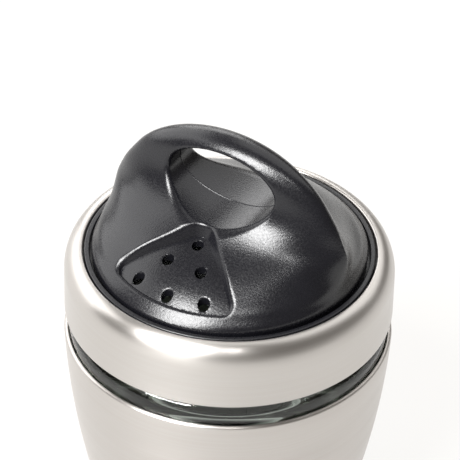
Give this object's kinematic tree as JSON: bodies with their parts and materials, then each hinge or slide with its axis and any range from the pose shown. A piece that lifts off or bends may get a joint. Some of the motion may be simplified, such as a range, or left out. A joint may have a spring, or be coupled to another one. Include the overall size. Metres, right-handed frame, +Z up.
{
  "type": "spice shaker",
  "caption": "Barrel-shaped glass jar in a brushed steel sleeve with a steel-collared screw lid, whose black domed dial has an arched handle and a recessed fan of shaker holes.",
  "frame": {"origin": "centre of the jar's foot, on the surface it stands on", "axes": "+Z up along the jar's axis, X along the dial's handle, -Y towards the shaker holes"},
  "size_m": [0.07, 0.07, 0.0988],
  "materials": {
    "clear_glass": "clear pressed soda-lime glass",
    "sleeve_steel": "brushed round the axis, satin",
    "collar_steel": "brushed round the axis, satin",
    "adhesive": "cured clear glue",
    "silicone": "translucent white silicone",
    "insert_plastic": "moulded black polypropylene",
    "dial_plastic": "moulded black, fine leather grain, semi-gloss",
    "plated_steel": "zinc plated",
    "spring_steel": "plain spring steel"
  },
  "bodies": {
    "jar": {"glass_jar": "clear_glass", "jar_sleeve": "sleeve_steel", "sleeve_adhesive": "adhesive"},
    "gasket": {"jar_gasket": "silicone"},
    "lid": {"lid_collar": "collar_steel", "lid_insert": "insert_plastic", "deck_seal": "silicone"},
    "dial": {"grip_dial": "dial_plastic", "pivot_screw": "plated_steel", "pivot_washer": "plated_steel", "wave_spring": "spring_steel"}
  },
  "joints": [
    {"name": "lid_lift", "type": "slide", "parent": "jar", "child": "gasket", "axis": [0, 0, 1], "range_m": [0, 0.01351]},
    {"name": "lid_turn", "type": "hinge", "parent": "gasket", "child": "lid", "pos_m": [0, 0, 0.065], "axis": [0, 0, 1], "range_deg": [0, 1080]},
    {"name": "dial_turn", "type": "hinge", "parent": "lid", "child": "dial", "pos_m": [0, 0, 0.07], "axis": [0, 0, 1], "continuous": true}
  ],
  "couplings": [
    {"joint": "lid_lift", "follows": "lid_turn", "m_per_rad": 0.0007162}
  ]
}
